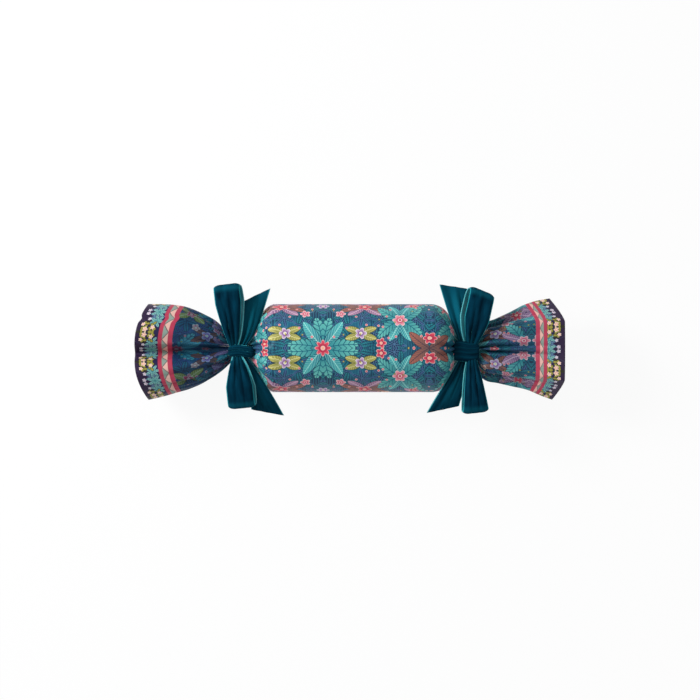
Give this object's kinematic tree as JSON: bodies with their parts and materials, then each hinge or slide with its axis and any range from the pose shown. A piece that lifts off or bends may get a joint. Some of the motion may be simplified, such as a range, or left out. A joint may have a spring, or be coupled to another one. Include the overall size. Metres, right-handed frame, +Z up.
{
  "type": "christmas cracker",
  "caption": "Christmas cracker wrapped in floral printed silk and tied at both chokes with velvet ribbon bows, with a snap, gift, paper crown and motto inside.",
  "frame": {"origin": "On the table that the cracker lies on, under the barrel's axis, midway between the two chokes, at the middle of the flat under the barrel.", "axes": "+X along the barrel towards the end with flat facets, +Z up towards the bows' knots, +Y across the barrel to complete a right-handed frame."},
  "size_m": [0.342, 0.1049, 0.0703],
  "materials": {
    "printed_silk": "satin, printed with leaves and flowers",
    "white_card": "smooth, uncoated",
    "grey_board": "rolled board",
    "velvet_ribbon": "cut pile velvet",
    "snap_card": "uncoated",
    "friction_patch": "gritty",
    "snap_paper": "thin kraft paper",
    "gift_card": "smooth",
    "tissue": "thin crumpled tissue",
    "plain_paper": "smooth"
  },
  "bodies": {
    "cracker": {"silk_wrap": "printed_silk", "inner_card": "white_card", "barrel_tube": "grey_board", "left_ribbon": "velvet_ribbon", "right_ribbon": "velvet_ribbon"},
    "left_snap_half": {"snap_card_left": "snap_card", "snap_charge": "friction_patch", "snap_sleeve": "snap_paper"},
    "right_snap_half": {"snap_card_right": "snap_card", "snap_grit": "friction_patch"},
    "gift": {"gift_box_base": "gift_card"},
    "gift_lid": {"gift_box_lid": "gift_card"},
    "crown": {"paper_crown": "tissue", "crown_band": "plain_paper"},
    "motto": {"motto_slip": "plain_paper"}
  },
  "joints": [
    {"name": "left_snap_pull", "type": "slide", "parent": "cracker", "child": "left_snap_half", "axis": [-1, 0, 0], "range_m": [0, 0.1085]},
    {"name": "right_snap_pull", "type": "slide", "parent": "cracker", "child": "right_snap_half", "axis": [1, 0, 0], "range_m": [0, 0.1085]},
    {"name": "gift_slide", "type": "slide", "parent": "cracker", "child": "gift", "axis": [1, 0, 0], "range_m": [-0.0257, 0.0617]},
    {"name": "gift_lid_lift", "type": "slide", "parent": "gift", "child": "gift_lid", "axis": [0, 0, 1], "range_m": [0, 0.006]},
    {"name": "crown_slide", "type": "slide", "parent": "cracker", "child": "crown", "axis": [1, 0, 0], "range_m": [-0.0447, 0.0207]},
    {"name": "motto_slide", "type": "slide", "parent": "cracker", "child": "motto", "axis": [1, 0, 0], "range_m": [-0.0327, 0.0487]}
  ]
}
